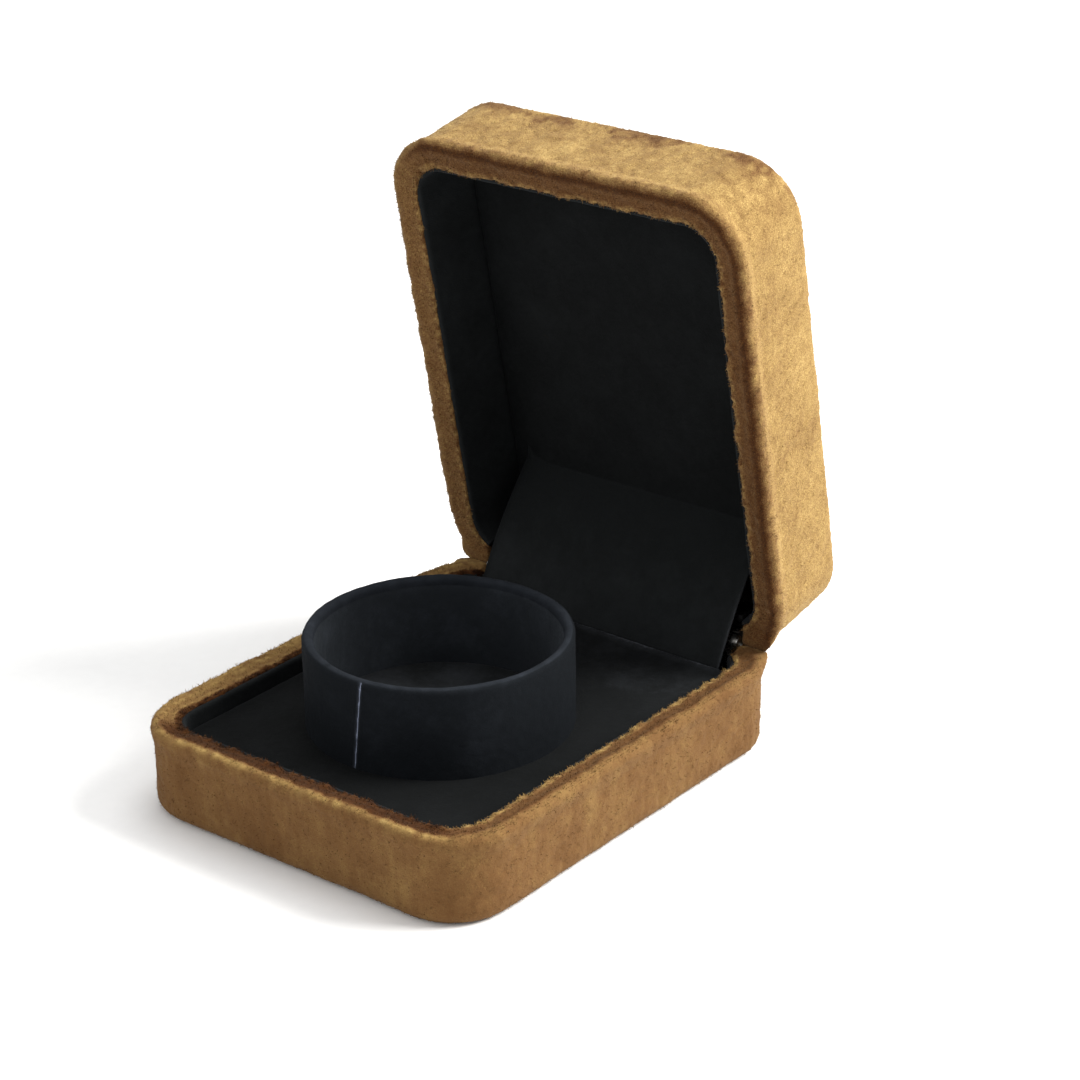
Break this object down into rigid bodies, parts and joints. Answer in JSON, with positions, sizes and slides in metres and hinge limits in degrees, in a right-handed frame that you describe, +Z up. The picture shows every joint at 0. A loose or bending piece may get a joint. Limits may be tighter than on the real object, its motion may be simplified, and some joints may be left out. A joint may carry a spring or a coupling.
{
  "type": "bangle box",
  "caption": "Velvet-covered hinged jewellery box, shown open: a shallow lined base with a round padded tube that holds a bangle, and a deeper padded lid on spring hinges.",
  "frame": {"origin": "Centre of the base's underside, on the surface that the box stands on.", "axes": "+Z up. The box opens at the front, -Y. The hinges are at the rear, +Y, with their axis along X. The rest pose has the lid open."},
  "size_m": [0.09, 0.1297, 0.1275],
  "materials": {
    "gold_velvet": "crushed velvet, bronze gold, thick pile",
    "black_velvet": "black velvet, matt, short pile",
    "black_cloth": "black velvet ribbon, matt",
    "underside_cloth": "flat brown non-woven cloth",
    "shell_plastic": "moulded, matt",
    "foam": "grey polyether foam, matt",
    "board": "grey board",
    "hinge_steel": "nickel-plated stamped steel",
    "spring_steel": "polished spring strip"
  },
  "bodies": {
    "base": {"base_shell": "shell_plastic", "base_velvet": "gold_velvet", "underside_sheet": "underside_cloth", "insert_foam": "foam", "insert_card": "board", "insert_velvet": "black_velvet", "base_side_lining": "black_velvet", "holder_core": "board", "holder_sleeve": "black_velvet", "holder_lining": "black_velvet", "base_hinge_leaves": "hinge_steel", "base_hinge_screws": "hinge_steel", "hinge_pins": "hinge_steel", "hinge_springs": "spring_steel", "hinge_strip": "black_cloth"},
    "lid": {"lid_shell": "shell_plastic", "lid_velvet": "gold_velvet", "lid_side_lining": "black_velvet", "lid_pad_card": "board", "lid_pad_foam": "foam", "lid_pad_velvet": "black_velvet", "lid_hinge_leaves": "hinge_steel", "lid_hinge_screws": "hinge_steel"}
  },
  "joints": [
    {"name": "lid_hinge", "type": "hinge", "parent": "base", "child": "lid", "pos_m": [0, 0.0512, 0.0197], "axis": [1, 0, 0], "range_deg": [0, 79], "deforming": ["hinge_springs", "hinge_strip"]}
  ]
}
